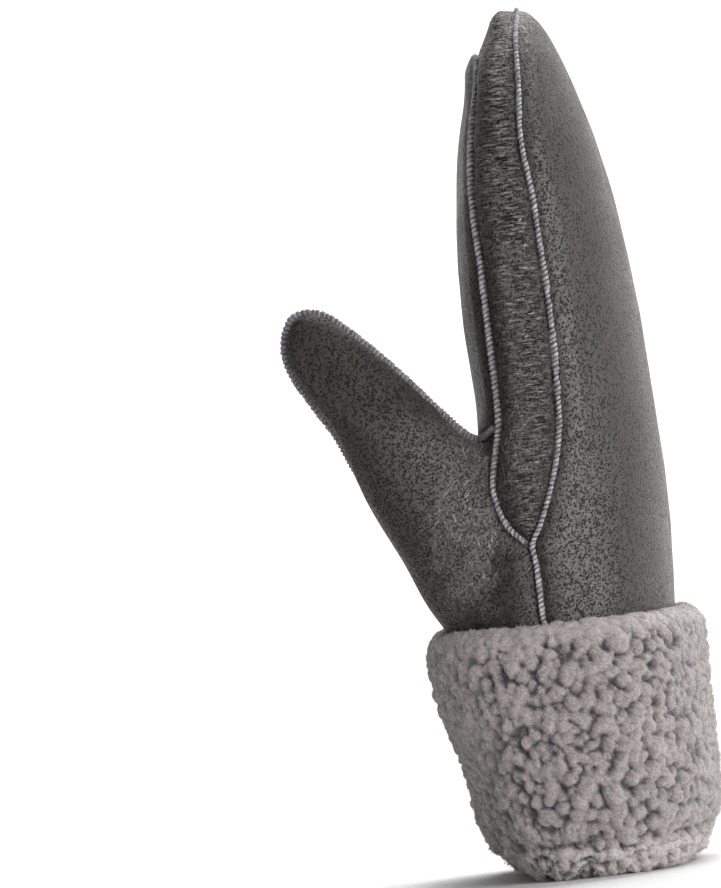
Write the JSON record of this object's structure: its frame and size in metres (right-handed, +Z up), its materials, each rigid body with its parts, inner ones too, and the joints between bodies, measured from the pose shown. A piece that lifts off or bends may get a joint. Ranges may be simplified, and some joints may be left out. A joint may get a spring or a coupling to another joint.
{
  "type": "fur mitten",
  "caption": "Right-hand sheepskin mitten with the wool inside, leather panels joined by raised whipped seams and a turned-back cuff of curly wool.",
  "frame": {"origin": "middle of the overall box in plan, on the surface the cuff stands on", "axes": "+Z up from the cuff to the fingertips, +X from the palm to the back of the hand, -Y towards the thumb side"},
  "size_m": [0.1304, 0.142, 0.2854],
  "materials": {
    "leather": "semi-gloss, grained",
    "thread": "matt, thread whipped over hide edges",
    "wool": "matt, curly shearling"
  },
  "bodies": {
    "root": {"back_panel": "leather", "side_gusset": "leather", "palm_panel": "leather", "thumb_panel": "leather", "seam_back": "thread", "seam_palm": "thread", "seam_thumb": "thread", "cuff": "wool"}
  },
  "joints": []
}
